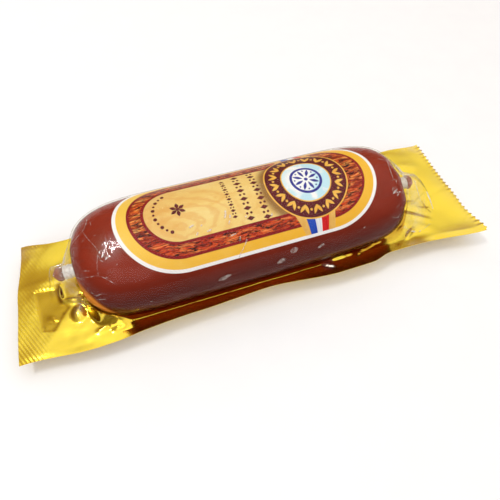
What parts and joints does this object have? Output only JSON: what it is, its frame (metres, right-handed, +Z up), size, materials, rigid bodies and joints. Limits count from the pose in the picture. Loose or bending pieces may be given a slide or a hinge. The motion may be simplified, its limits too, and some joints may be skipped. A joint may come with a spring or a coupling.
{
  "type": "smoked cheese",
  "caption": "Rounded smoked cheese in a glossy brown casing with clipped ends and a printed label, sealed between a clear film and a gold foil web.",
  "frame": {"origin": "middle of the pack's bounding box, on the surface that the pack lies on", "axes": "+X along the cheese towards the end with the round print, -Y towards the viewer, +Z up"},
  "size_m": [0.2054, 0.0606, 0.0419],
  "materials": {
    "casing": "glossy smoked casing",
    "clip": "satin",
    "label": "printed film label",
    "gold_foil": "metallised gold, glossy",
    "clear_film": "clear, glossy"
  },
  "bodies": {
    "root": {"cheese": "casing", "clip_left": "clip", "clip_right": "clip", "label": "label", "gold_web": "gold_foil", "clear_film": "clear_film"}
  },
  "joints": []
}
